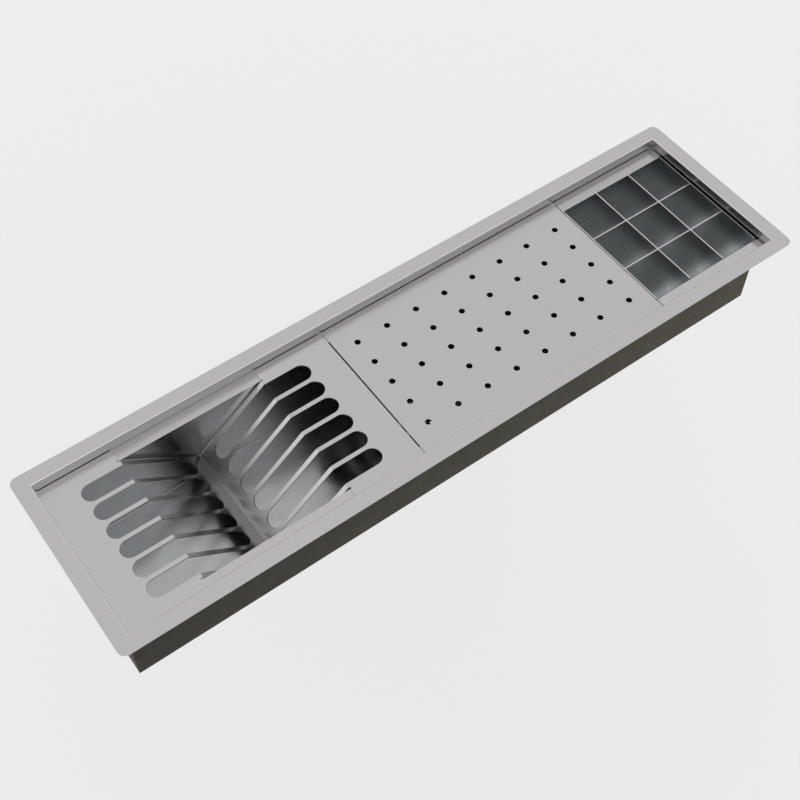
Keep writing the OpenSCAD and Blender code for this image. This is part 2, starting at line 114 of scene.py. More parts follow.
class SteelSettings(PropertyGroup):
    """Brushed stainless steel sheet."""

    rim_tone: FloatVectorProperty(
        name="Rim Tone", description="Reflected colour of the rim and its recess",
        default=(0.424, 0.415, 0.419), size=3, subtype="COLOR", min=0, max=1)
    insert_tone: FloatVectorProperty(
        name="Insert Tone",
        description="Reflected colour of the plate rack, the drip cover and the divided box's wings",
        default=(0.424, 0.417, 0.419), size=3, subtype="COLOR", min=0, max=1)
    box_tone: FloatVectorProperty(
        name="Box Tone", description="Reflected colour of the inside of the divided box",
        default=(0.404, 0.418, 0.418), size=3, subtype="COLOR", min=0, max=1)
    tank_tone: FloatVectorProperty(
        name="Tank Tone", description="Reflected colour of the tank",
        default=(0.414, 0.416, 0.421), size=3, subtype="COLOR", min=0, max=1)
    rim_roughness: FloatProperty(
        name="Rim Roughness", description="Mean roughness of the rim and the drip cover",
        default=0.27, min=0, max=1, subtype="FACTOR")
    rack_roughness: FloatProperty(
        name="Rack Roughness", description="Mean roughness of the plate rack",
        default=0.2, min=0, max=1, subtype="FACTOR")
    tank_roughness: FloatProperty(
        name="Tank Roughness", description="Mean roughness of the tank's inside",
        default=0.21, min=0, max=1, subtype="FACTOR")
    # Painted shade: share of the tone that the tank keeps under the cover and the box
    covered_tank_painted_shade: FloatProperty(
        name="Covered Tank",
        description="Share of the tone that the tank keeps under the cover and the box",
        default=0.57, min=0, max=1, subtype="FACTOR")
    box_roughness: FloatProperty(
        name="Box Roughness", description="Mean roughness of the divided box",
        default=0.18, min=0, max=1, subtype="FACTOR")
    # Painted shade: share of the tone that the inside of the divided box keeps
    box_inside_painted_shade: FloatProperty(
        name="Box Inside", description="Share of the tone that the inside of the divided box keeps",
        default=0.88, min=0, max=1, subtype="FACTOR")
    anisotropy: FloatProperty(
        name="Anisotropy", description="How far the highlight is drawn out across the grain",
        default=0.35, min=0, max=1, subtype="FACTOR")
    tank_anisotropy: FloatProperty(
        name="Tank Anisotropy", description="How far the tank's highlight is drawn out across the grain",
        default=0.7, min=0, max=1, subtype="FACTOR")
    # Painted shade: share of the tone that the inserts keep on their lower faces
    underside: FloatProperty(
        name="Underside", description="Share of the tone that the inserts keep on their lower faces",
        default=0.1, min=0, max=1, subtype="FACTOR")
    bead_width: FloatProperty(
        name="Weld Width", description="Width of the weld beads under the ledges",
        default=0.0024, min=0.001, subtype="DISTANCE", unit="LENGTH")
    bead_ripple: FloatProperty(
        name="Weld Ripple", description="Distance between two ripples of a weld bead",
        default=0.0028, min=0.001, subtype="DISTANCE", unit="LENGTH")


class CoatSettings(PropertyGroup):
    """Sound-deadening coat on the tank's outside."""

    tone: FloatVectorProperty(
        name="Coat Tone", description="Colour of the coat",
        default=(0.026, 0.0215, 0.012), size=3, subtype="COLOR", min=0, max=1)
    thickness: FloatProperty(
        name="Coat Thickness", description="Thickness of the coat",
        default=0.0004, min=0.0001, subtype="DISTANCE", unit="LENGTH")
    top_gap: FloatProperty(
        name="Bare Top", description="Height left bare under the ledges",
        default=0.004, min=0, subtype="DISTANCE", unit="LENGTH")
    bare_radius: FloatProperty(
        name="Bare Disc", description="Radius of the disc left bare around the drain",
        default=0.050, min=0.045, subtype="DISTANCE", unit="LENGTH")


class DrainSettings(PropertyGroup):
    """Drain, its rings and its strainer."""

    thread_pitch: FloatProperty(
        name="Thread Pitch", description="Pitch of the 1 1/2 inch pipe thread",
        default=0.0023091, min=0.001, subtype="DISTANCE", unit="LENGTH")
    thread_depth: FloatProperty(
        name="Thread Depth", description="Depth of the pipe thread",
        default=0.0013, min=0.0005, subtype="DISTANCE", unit="LENGTH")
    nut_ribs: IntProperty(
        name="Nut Ribs", description="Number of grip ribs on the lock nut", default=36, min=6)
    knob_flutes: IntProperty(
        name="Knob Flutes", description="Number of flutes around the strainer's knob", default=18, min=6)
    metal_tone: FloatVectorProperty(
        name="Drain Tone", description="Reflected colour of the polished drain",
        default=(0.62, 0.62, 0.63), size=3, subtype="COLOR", min=0, max=1)


class TroughSettings(PropertyGroup):
    """Everything that can be set on the wet trough."""

    stage: PointerProperty(type=StageSettings)
    steel: PointerProperty(type=SteelSettings)
    coat: PointerProperty(type=CoatSettings)
    drain: PointerProperty(type=DrainSettings)


def settings():
    """The trough's settings, which are kept with the scene."""
    return bpy.context.scene.wet_trough


# Shader helpers

# Numbers of a Mix node's sockets for colours
MIX_FACTOR, MIX_A, MIX_B, MIX_RESULT = 0, 6, 7, 2
# Values between which noise mostly stays
NOISE_LOW, NOISE_HIGH = 0.3, 0.7
# Distance between the columns and between the rows of a laid-out node tree
COLUMN_WIDTH, ROW_HEIGHT = 220, 200


def add_node(tree, kind, **values):
    """A shader node with its properties and its unlinked inputs set."""
    node = tree.nodes.new(kind)
    for key, value in values.items():
        if hasattr(node, key):
            setattr(node, key, value)
        else:
            node.inputs[key.replace("_", " ")].default_value = value
    return node


def feed(tree, socket, value):
    """Links a socket to another one, or sets it to a plain value."""
    if isinstance(value, bpy.types.NodeSocket):
        tree.links.new(value, socket)
    else:
        socket.default_value = value


def new_material(name):
    """An empty node material and its Principled shader."""
    material = bpy.data.materials.new(name)
    material.use_nodes = True
    tree = material.node_tree
    tree.nodes.clear()
    output = add_node(tree, "ShaderNodeOutputMaterial")
    shader = add_node(tree, "ShaderNodeBsdfPrincipled")
    tree.links.new(shader.outputs["BSDF"], output.inputs["Surface"])
    return material, tree, shader


def lay_out(tree):
    """Places the nodes in columns, each to the left of the nodes that it feeds."""
    columns = {node.name: 0 for node in tree.nodes}
    for _ in tree.nodes:
        for link in tree.links:
            source = link.from_node.name
            columns[source] = max(columns[source], columns[link.to_node.name] + 1)
    filled = {}
    for node in tree.nodes:
        column = columns[node.name]
        row = filled.get(column, 0)
        filled[column] = row + 1
        node.location = (-COLUMN_WIDTH * column, -ROW_HEIGHT * row)


def maths(tree, operation, *values):
    """Sockets or numbers put together by a maths operation."""
    node = add_node(tree, "ShaderNodeMath", operation=operation)
    for socket, value in zip(node.inputs, values):
        feed(tree, socket, value)
    return node.outputs[0]


def total(tree, first, *others):
    """The sum of sockets and numbers."""
    for other in others:
        first = maths(tree, "ADD", first, other)
    return first


def product(tree, first, *others):
    """The product of sockets and numbers."""
    for other in others:
        first = maths(tree, "MULTIPLY", first, other)
    return first


def remap(tree, value, start, end, low, high):
    """The value mapped from start and end to low and high, held at both ends."""
    node = add_node(tree, "ShaderNodeMapRange", From_Min=start, From_Max=end, To_Min=low, To_Max=high)
    tree.links.new(value, node.inputs["Value"])
    return node.outputs["Result"]


def ramp(tree, value, start, end):
    """0 up to start and 1 from end on."""
    return remap(tree, value, start, end, 0.0, 1.0)


def uneven(tree, value, low, high):
    """Noise spread over the values from low to high."""
    return remap(tree, value, NOISE_LOW, NOISE_HIGH, low, high)


def noise(tree, coordinates, scale, detail):
    """Noise with its own scale on each axis, in waves per metre."""
    mapping = add_node(tree, "ShaderNodeMapping", Scale=scale)
    texture = add_node(tree, "ShaderNodeTexNoise", Scale=1.0, Detail=detail, Roughness=0.6)
    tree.links.new(coordinates, mapping.inputs["Vector"])
    tree.links.new(mapping.outputs["Vector"], texture.inputs["Vector"])
    return texture.outputs["Fac"]


def tint(tree, shader, tone, factor):
    """Base colour: the tone, a colour or a socket, times a varying factor."""
    colour = add_node(tree, "ShaderNodeMix", data_type="RGBA", blend_type="MULTIPLY")
    colour.inputs[MIX_FACTOR].default_value = 1.0
    feed(tree, colour.inputs[MIX_A], tone)
    tree.links.new(factor, colour.inputs[MIX_B])
    tree.links.new(colour.outputs[MIX_RESULT], shader.inputs["Base Color"])


def blend_tones(tree, share, tone, other_tone):
    """One tone that turns into another as the share grows."""
    blend = add_node(tree, "ShaderNodeMix", data_type="RGBA")
    tree.links.new(share, blend.inputs[MIX_FACTOR])
    blend.inputs[MIX_A].default_value = tone
    blend.inputs[MIX_B].default_value = other_tone
    return blend.outputs[MIX_RESULT]


def raise_bumps(tree, shader, height, strength, distance):
    """Bump from a height socket, the distance in metres."""
    bump = add_node(tree, "ShaderNodeBump", Strength=strength, Distance=distance)
    tree.links.new(height, bump.inputs["Height"])
    tree.links.new(bump.outputs["Normal"], shader.inputs["Normal"])


def object_place(tree):
    """Coordinates in metres in the trough's own frame, whole and by axis."""
    place = add_node(tree, "ShaderNodeTexCoord").outputs["Object"]
    axes = add_node(tree, "ShaderNodeSeparateXYZ")
    tree.links.new(place, axes.inputs["Vector"])
    return place, axes.outputs["X"], axes.outputs["Y"], axes.outputs["Z"]


def surface_rise(tree):
    """How far the surface faces up: 1 on a level top, 0 on a wall, -1 on an underside."""
    normal = add_node(tree, "ShaderNodeNewGeometry").outputs["Normal"]
    axes = add_node(tree, "ShaderNodeSeparateXYZ")
    tree.links.new(normal, axes.inputs["Vector"])
    return axes.outputs["Z"]


def opaque(tone):
    """A colour as a colour socket takes it."""
    return (*tone, 1.0)


# Brushed steel

# Waves per metre along and across the grain, and the scratches' share of them
GRAIN_ALONG, GRAIN_ACROSS, SCRATCH_SHARE = 5.0, 1500.0, 0.12
# Waves per metre of the handling marks
MARK_SCALE = (9.0, 11.0, 10.0)
# What grain and scratches add to the marks' factor of the roughness, and the factors of the tone
GRAIN_SHINE, SCRATCH_SHINE, MARK_SHINE = (-0.13, 0.13), (-0.07, 0.07), (0.93, 1.11)
GRAIN_TONE, MARK_TONE = (0.988, 1.012), (1.008, 0.992)
# The grain's bump: its strength on sheet of this roughness, how fast it fades on smoother sheet, and
# its height in metres
GRAIN_BUMP, GRAIN_BUMP_ROUGHNESS, GRAIN_BUMP_FADE, GRAIN_HEIGHT = 0.08, 0.27, 4, 0.00004
# Heights where the divided box's inner tone and painted inner shade give way to the wings' tone
INSIDE_FADE = (LEDGE_TOP - 0.004, LEDGE_TOP - 0.001)


def brushed_steel(name, tone, grain_axis, roughness, painted_light, anisotropy=None, inner_tone=None):
    """Stainless sheet with a fine grain along one axis, soft handling marks and hairline scratches.

    The last factor of the tone comes from a function of the tree and the coordinates, which paints
    light and shade into the sheet.
    The inner tone, where there is one, takes the tone's place below the ledges.
    The rougher the sheet, the more its grain stands out."""
    material, tree, shader = new_material(name)
    place, x, y, z = object_place(tree)
    grain_scale = [GRAIN_ALONG if axis == grain_axis else GRAIN_ACROSS for axis in "XYZ"]
    grain = noise(tree, place, grain_scale, detail=3)
    scratches = noise(tree, place, [scale * SCRATCH_SHARE for scale in grain_scale], detail=2)
    marks = noise(tree, place, MARK_SCALE, detail=5)
    shine = total(tree, uneven(tree, grain, *GRAIN_SHINE), uneven(tree, scratches, *SCRATCH_SHINE),
                  uneven(tree, marks, *MARK_SHINE))
    tree.links.new(product(tree, shine, roughness), shader.inputs["Roughness"])
    # Factor of the tone: random grain and handling marks, times the sheet's painted light and shade
    light = product(tree, uneven(tree, grain, *GRAIN_TONE), uneven(tree, marks, *MARK_TONE),
                    painted_light(tree, x, y, z))
    tone = opaque(tone)
    if inner_tone:
        tone = blend_tones(tree, ramp(tree, z, *reversed(INSIDE_FADE)), tone, opaque(inner_tone))
    tint(tree, shader, tone, light)
    bump = GRAIN_BUMP * (roughness / GRAIN_BUMP_ROUGHNESS) ** GRAIN_BUMP_FADE
    raise_bumps(tree, shader, grain, bump, GRAIN_HEIGHT)
    shader.inputs["Metallic"].default_value = 1.0
    shader.inputs["Anisotropic"].default_value = anisotropy or settings().steel.anisotropy
    lay_out(tree)
    return material


# Painted light and shade of the sheets: each gives a factor of the tone from the place, and where
# needed from the way that the surface faces. A pair of numbers is the two ends of a ramp, in metres
# or as rise.

def rim_painted_light(tree, x, y, z):
    """Painted light and shade on the rim: painted highlights on the folds at the rim's edge, lighter
    recess walls, painted shade on the right wall and a dark painted crease along the ledges."""
    # Painted highlight on the folds and walls, painted shade on the right wall and in the crease
    lift, left_fold_painted_light, wall_painted_light, right_wall_painted_shade, crease_painted_shade = 0.3, 0.48, 0.25, 0.4, 0.6
    left_end, right_wall = (0.003 - RECESS_X, 0.006 - RECESS_X), (RECESS_X - 0.0012, RECESS_X - 0.0006)
    between_ledges = (TANK_HIGH.y, TANK_HIGH.y - 0.006)
    folding, fold_height, under_fold = (0.999, 0.93), (-0.0016, -0.0008), (-0.0006, -0.0014)
    crease_height = (LEDGE_TOP + 0.0018, LEDGE_TOP + 0.0012)
    on_wall, on_crease = (-0.0012, -0.0006), (-0.0009, -0.0005)
    across = maths(tree, "ABSOLUTE", y)
    beyond = maths(tree, "MAXIMUM",
                   maths(tree, "SUBTRACT", maths(tree, "ABSOLUTE", x), RECESS_X),
                   maths(tree, "SUBTRACT", across, RECESS_Y))
    below_fold = ramp(tree, z, *under_fold)
    fold = product(tree, remap(tree, x, *left_end, left_fold_painted_light, lift),
                   ramp(tree, surface_rise(tree), *folding), ramp(tree, z, *fold_height))
    wall = product(tree, below_fold, ramp(tree, beyond, *on_wall), wall_painted_light)
    right = product(tree, ramp(tree, x, *right_wall), below_fold, ramp(tree, across, *between_ledges),
                    -right_wall_painted_shade)
    crease = product(tree, ramp(tree, z, *crease_height), ramp(tree, beyond, *on_crease),
                     ramp(tree, x, *left_end), -crease_painted_shade)
    return total(tree, fold, wall, right, crease, 1.0)


def box_painted_light(tree, x, y, z):
    """Painted shade inside the box, painted light on its floor towards the front of each cell, and
    painted shade on the back wing, which is a little darker than the front one."""
    # Strengths of the painted light on the cells' floors and of the painted shade on the back wing
    front_painted_light, back_wing_painted_shade = 0.45, 0.88
    cell_front, front_to_back = (0.048, 0.03), (-0.06, 0.066)
    floor_height = (BOX_LOW.z + 0.03, BOX_LOW.z + 0.004)
    wall = CELLS_HIGH.y + INSERT_SHEET
    over_wall = (wall - 0.002, wall + 0.001)
    pitch = (CELLS_HIGH.y - CELLS_LOW.y + DIVIDER_SHEET) / CELL_ROWS
    into_cell = maths(tree, "FLOORED_MODULO", maths(tree, "SUBTRACT", y, CELLS_LOW.y), pitch)
    glow = product(tree, ramp(tree, into_cell, *cell_front), ramp(tree, z, *floor_height),
                   remap(tree, y, *front_to_back, front_painted_light, 0.0))
    # Painted shade on the inside of the box
    inside = remap(tree, z, *INSIDE_FADE, settings().steel.box_inside_painted_shade, 1.0)
    wing = remap(tree, y, *over_wall, 1.0, back_wing_painted_shade)
    return product(tree, inside, wing, total(tree, glow, 1.0))


def divider_painted_light(tree, x, y, z):
    """A painted highlight on the cut upper edges of the dividers, over the box's painted light and shade.
    """
    edge_painted_highlight, level, at_top = 0.4, (0.9, 0.99), (LEDGE_TOP - 0.002, LEDGE_TOP - 0.001)
    edge = product(tree, ramp(tree, surface_rise(tree), *level), ramp(tree, z, *at_top), edge_painted_highlight)
    return total(tree, box_painted_light(tree, x, y, z), edge)


def underside_painted_shade(tree, rise):
    """Factor of the painted shade on the lower faces, which are darker than the upper ones."""
    facing_down = (-0.6, -0.2)
    return remap(tree, rise, *facing_down, settings().steel.underside, 1.0)


def cover_painted_shade(tree, x, y, z):
    """Painted shade on the cover's lower face."""
    return underside_painted_shade(tree, surface_rise(tree))


def rack_painted_light(tree, x, y, z):
    """Painted shade on the lower faces and in a crease along the fold at the bottom. On the upper face of
    the slope to its right: painted shade low down, most of all at the back, and painted light near the
    deck."""
    # Painted shade in the crease and low on the slope, painted light high on the slope
    crease_painted_shade_share, front_painted_shade, back_painted_shade, high_painted_light = 0.45, 0.12, 0.5, 0.3
    from_crease, right_side, sloping = (0.0006, 0.0014), (0.0, 0.002), (0.9, 0.8)
    front_to_back, slope_height = (-TANK_HIGH.y, TANK_HIGH.y), (RACK_LOW.z, LEDGE_TOP - 0.01)
    rise = surface_rise(tree)
    side = maths(tree, "SUBTRACT", x, RACK_MIDDLE)
    crease = remap(tree, maths(tree, "ABSOLUTE", side), *from_crease, crease_painted_shade_share, 1.0)
    slope = product(tree, ramp(tree, side, *right_side), ramp(tree, rise, *sloping))
    up_slope = ramp(tree, z, *slope_height)
    low = product(tree, maths(tree, "SUBTRACT", 1.0, up_slope),
                  remap(tree, y, *front_to_back, -front_painted_shade, -back_painted_shade))
    glow = product(tree, slope, total(tree, low, product(tree, up_slope, high_painted_light)))
    return product(tree, crease, underside_painted_shade(tree, rise), total(tree, glow, 1.0))


def tank_painted_shade(tree, x, y, z):
    """Painted shade on the tank left of the rack's fold in its back half, and from under the rack's right
    deck on, under the cover and the box."""
    # Strength of the painted shade beside the rack's fold
    fold_painted_shade, back_half = 0.5, (-0.03, 0.005)
    left_edge = (RACK_MIDDLE - 0.065, RACK_MIDDLE - 0.03)
    right_edge = (RACK_MIDDLE + 0.01, RACK_MIDDLE - 0.015)
    under_deck = (RACK_LOW.x * 0.43, RACK_LOW.x * 0.23)
    beside_fold = product(tree, ramp(tree, x, *left_edge), ramp(tree, x, *right_edge),
                          ramp(tree, y, *back_half), fold_painted_shade)
    # Painted shade under the rack's right deck, the cover and the box
    covered = remap(tree, x, *under_deck, 1.0, settings().steel.covered_tank_painted_shade)
    return maths(tree, "SUBTRACT", covered, beside_fold)


# Other finishes

def turned_metal(name, tone, roughness):
    """Turned and polished metal: fine rings around the drain's axis, water marks and a soft cloud."""
    ring_scale, ring_shine, spot_scale, spot_edge = 2600.0, 0.03, (260.0, 240.0, 250.0), (0.45, 0.75)
    mark_roughness, cloud_edge, cloud_tone = 0.12, (0.3, 0.8), 0.9
    material, tree, shader = new_material(name)
    place, _, _, z = object_place(tree)
    centred = add_node(tree, "ShaderNodeVectorMath", operation="SUBTRACT")
    tree.links.new(place, centred.inputs[0])
    centred.inputs[1].default_value = DRAIN_CENTRE
    flat = add_node(tree, "ShaderNodeVectorMath", operation="MULTIPLY")
    tree.links.new(centred.outputs[0], flat.inputs[0])
    flat.inputs[1].default_value = (1.0, 1.0, 0.0)
    radius = add_node(tree, "ShaderNodeVectorMath", operation="LENGTH")
    tree.links.new(flat.outputs[0], radius.inputs[0])
    section = add_node(tree, "ShaderNodeCombineXYZ")
    tree.links.new(radius.outputs["Value"], section.inputs["X"])
    tree.links.new(z, section.inputs["Z"])
    rings = noise(tree, section.outputs[0], (ring_scale, 1.0, ring_scale), detail=2)
    spots = noise(tree, place, spot_scale, detail=4)
    shine = total(tree, uneven(tree, rings, -ring_shine, ring_shine),
                  remap(tree, spots, *spot_edge, roughness, roughness + mark_roughness))
    tree.links.new(shine, shader.inputs["Roughness"])
    tint(tree, shader, opaque(tone), remap(tree, spots, *cloud_edge, 1.0, cloud_tone))
    raise_bumps(tree, shader, rings, strength=0.15, distance=0.00003)
    shader.inputs["Metallic"].default_value = 1.0
    lay_out(tree)
    return material


def moulded(name, tone, roughness, fleck, grain_size, bump, specular=0.5, spread=0.0):
    """Moulded rubber or plastic: a fine moulded skin, small flecks and dust that dulls it unevenly.

    bump is the skin's height. spread is painted light along the trough: how much darker the left end
    is painted, and how much lighter its right end."""
    material, tree, shader = new_material(name)
    place, x, _, _ = object_place(tree)
    dust_scale, dust_edge, dust_tone = (45.0, 50.0, 55.0), (0.35, 0.7), 0.95
    dust_roughness = (-0.06, 0.08)
    skin = noise(tree, place, (1 / grain_size,) * 3, detail=4)
    dust = noise(tree, place, dust_scale, detail=5)
    factor = product(tree, uneven(tree, skin, 1.0 - fleck, 1.0 + fleck),
                     remap(tree, dust, *dust_edge, dust_tone, 1.0 + fleck))
    # Painted light: the tone is darker towards the trough's left end and lighter towards its right
    if spread:
        factor = product(tree, factor, remap(tree, x, RIM_LOW.x, RIM_HIGH.x, 1.0 - spread, 1.0 + spread))
    tint(tree, shader, opaque(tone), factor)
    low, high = (roughness + change for change in dust_roughness)
    tree.links.new(uneven(tree, dust, low, high), shader.inputs["Roughness"])
    raise_bumps(tree, shader, skin, strength=0.4, distance=bump)
    shader.inputs["Specular IOR Level"].default_value = specular
    lay_out(tree)
    return material


def weld_steel(name):
    """Bare weld: dull steel with straw and blue heat tints that come and go along the bead."""
    blue, plain, straw = (0.30, 0.31, 0.34), (0.42, 0.42, 0.42), (0.42, 0.38, 0.31)
    least_roughness, most_roughness = 0.28, 0.5
    material, tree, shader = new_material(name)
    place = object_place(tree)[0]
    heat = noise(tree, place, (60.0, 90.0, 90.0), detail=3)
    pits = noise(tree, place, (1800.0,) * 3, detail=3)
    colours = add_node(tree, "ShaderNodeValToRGB")
    stops = colours.color_ramp.elements
    stops[0].position, stops[0].color = NOISE_LOW, opaque(blue)
    stops[1].position, stops[1].color = NOISE_HIGH, opaque(straw)
    stops.new(0.5).color = opaque(plain)
    tree.links.new(heat, colours.inputs["Fac"])
    tree.links.new(colours.outputs["Color"], shader.inputs["Base Color"])
    tree.links.new(uneven(tree, pits, least_roughness, most_roughness), shader.inputs["Roughness"])
    raise_bumps(tree, shader, pits, strength=0.3, distance=0.00005)
    shader.inputs["Metallic"].default_value = 1.0
    lay_out(tree)
    return material


def give_finish(material, *node_names):
    """Puts a material in every slot of the CAD nodes."""
    for name in node_names:
        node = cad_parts[name]
        if not node.material_slots:
            node.data.materials.append(material)
        for slot in node.material_slots:
            slot.material = material


# Mesh helpers

# Points closer than this, in metres, become one
SAME_PLACE = 1e-7


def finish_piece(name, mesh_data, body, material, replaces=None, sharp_angle=35.0):
    """Turns a bmesh into a named piece that rides on a body. Edges sharper than the angle, in
    degrees, stay sharp."""
    bmesh.ops.remove_doubles(mesh_data, verts=mesh_data.verts, dist=SAME_PLACE)
    for face in mesh_data.faces:
        face.smooth = True
    for edge in mesh_data.edges:
        if len(edge.link_faces) == 2 and edge.calc_face_angle(0.0) > math.radians(sharp_angle):
            edge.smooth = False
    mesh = bpy.data.meshes.new(name)
    mesh_data.to_mesh(mesh)
    mesh_data.free()
    mesh.materials.append(material)
    piece = bpy.data.objects.new(name, mesh)
    bpy.context.scene.collection.objects.link(piece)
    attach(piece, body)
    if replaces:
        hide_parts(replaces)
    return piece


def join_rings(mesh, ring, following):
    """A band of faces between two rings of equally many points."""
    for k in range(len(ring)):
        n = (k + 1) % len(ring)
        mesh.faces.new((ring[k], ring[n], following[n], following[k]))


def even_stops(start, end, steps):
    """Places from start to end, both included."""
    return [start + (end - start) * i / steps for i in range(steps + 1)]


def wave(crests, angle):
    """A wave between 0 and 1 with so many crests around the turn."""
    return 0.5 + 0.5 * math.cos(crests * angle)


def rounded_section(corners, steps=4):
    """Half section of a turned piece from corners (radius, height, corner radius), in metres."""
    points = []
    for i, (radius, height, fillet) in enumerate(corners):
        here = Vector((radius, height))
        if not fillet:
            points.append(here)
            continue
        before = (Vector(corners[i - 1][:2]) - here).normalized()
        after = (Vector(corners[(i + 1) % len(corners)][:2]) - here).normalized()
        half = before.angle(after) / 2
        centre = here + (before + after).normalized() * (fillet / math.sin(half))
        first = here + before * (fillet / math.tan(half)) - centre
        last = here + after * (fillet / math.tan(half)) - centre
        for share in even_stops(0.0, 1.0, steps):
            points.append(centre + first.lerp(last, share).normalized() * fillet)
    return [(p.x, p.y) for p in points]


def turned(rows, segments):
    """Closed turned mesh around the drain's axis.

    A row is (radius, height), or a function of the angle that gives them."""
    mesh = bmesh.new()
    rings = []
    for row in rows:
        ring = []
        for k in range(segments):
            angle = 2 * math.pi * k / segments
            radius, height = row(angle) if callable(row) else row
            ring.append(mesh.verts.new((DRAIN_CENTRE.x + radius * math.cos(angle),
                                        DRAIN_CENTRE.y + radius * math.sin(angle), height)))
        rings.append(ring)
    for ring, following in zip(rings, rings[1:] + rings[:1]):
        join_rings(mesh, ring, following)
    bmesh.ops.recalc_face_normals(mesh, faces=mesh.faces)
    return mesh


# Stage

# Width of the camera's sensor in millimetres, and the nearest and farthest that it sees in metres
SENSOR_WIDTH, NEAREST, FARTHEST = 36, 0.01, 100
# The soft light's width and its turns about X, Y and Z
LIGHT_WIDTH, LIGHT_TURNS = math.radians(70), (math.radians(35), math.radians(-30), 0)
# Bounces of the light, enough for the narrow cells of the divided box
BOUNCES, GLOSSY_BOUNCES = 24, 16


def make_stage():
    """Camera, plain pale floor, even surroundings and one wide soft light."""
    stage = settings().stage
    scene = bpy.context.scene
    scene.view_settings.view_transform = "Standard"
    scene.cycles.max_bounces = BOUNCES
    scene.cycles.glossy_bounces = GLOSSY_BOUNCES
    scene.world = bpy.data.worlds.new("soft_surroundings")
    scene.world.use_nodes = True
    light_dome(scene.world.node_tree, stage)

    camera = bpy.data.objects.new("camera", bpy.data.cameras.new("camera"))
    scene.collection.objects.link(camera)
    azimuth, elevation = stage.camera_azimuth, stage.camera_elevation
    back = Vector((math.sin(azimuth) * math.cos(elevation), -math.cos(azimuth) * math.cos(elevation),
                   math.sin(elevation)))
    camera.location = stage.camera_place
    camera.rotation_mode = "QUATERNION"
    camera.rotation_quaternion = (-back).to_track_quat("-Z", "Y")
    camera.data.lens = stage.focal_length
    camera.data.sensor_width = SENSOR_WIDTH
    camera.data.clip_start = NEAREST
    camera.data.clip_end = FARTHEST
    scene.camera = camera

    light = bpy.data.objects.new("soft_light", bpy.data.lights.new("soft_light", "SUN"))
    light.data.energy = stage.sun_strength
    light.data.angle = LIGHT_WIDTH
    light.rotation_euler = LIGHT_TURNS
    scene.collection.objects.link(light)

    mesh = bpy.data.meshes.new("floor")
    reach = stage.floor_reach
    corners = [(x * reach, y * reach, -stage.floor_drop) for x, y in ((-1, -1), (1, -1), (1, 1), (-1, 1))]
    mesh.from_pydata(corners, [], [(0, 1, 2, 3)])
    mesh.materials.append(floor_paint(stage))
    floor = bpy.data.objects.new("floor", mesh)
    scene.collection.objects.link(floor)


def light_dome(tree, stage):
    """Even surroundings that grow brighter from the horizon to overhead, like a soft light tent."""
    even_up_to, brightest_from = 0.1, 0.55
    direction = add_node(tree, "ShaderNodeTexCoord").outputs["Generated"]
    height = add_node(tree, "ShaderNodeSeparateXYZ")
    tree.links.new(direction, height.inputs["Vector"])
    rise = add_node(tree, "ShaderNodeMapRange", interpolation_type="SMOOTHSTEP", From_Min=even_up_to,
                    From_Max=brightest_from, To_Min=1.0, To_Max=stage.overhead)
    tree.links.new(height.outputs["Z"], rise.inputs["Value"])
    background = tree.nodes["Background"]
    background.inputs["Color"].default_value = opaque(stage.backdrop)
    tree.links.new(rise.outputs["Result"], background.inputs["Strength"])
    lay_out(tree)


def floor_paint(stage):
    """Matt pale paint that reads as the surroundings."""
    material, tree, shader = new_material("floor_paint")
    shader.inputs["Base Color"].default_value = (0.3, 0.3, 0.3, 1.0)
    shader.inputs["Roughness"].default_value = 1.0
    shader.inputs["Specular IOR Level"].default_value = 0.0
    shader.inputs["Emission Color"].default_value = opaque(stage.backdrop)
    shader.inputs["Emission Strength"].default_value = stage.floor_glow
    lay_out(tree)
    return material


# Pieces

# Radius of the holes that go over the drain's shank
SHANK_HOLE = 0.0242
# Corners of a weld bead's section, as shares of its two legs
BEAD_SECTION = ((0, 0), (1, 0), (0.92, 0.45), (0.7, 0.7), (0.45, 0.92), (0, 1))


def bare_disc(mesh, loop, radius, height):
    """Faces from a loop of points inwards to a circle around the drain's axis."""
    outer = loop
    for share in (0.35, 0.7, 1.0):
        inner = []
        for vert in loop:
            out = Vector((vert.co.x - DRAIN_CENTRE.x, vert.co.y - DRAIN_CENTRE.y, 0.0))
            place = out.lerp(out.normalized() * radius, share)
            inner.append(mesh.verts.new((DRAIN_CENTRE.x + place.x, DRAIN_CENTRE.y + place.y, height)))
        join_rings(mesh, outer, inner)
        outer = inner


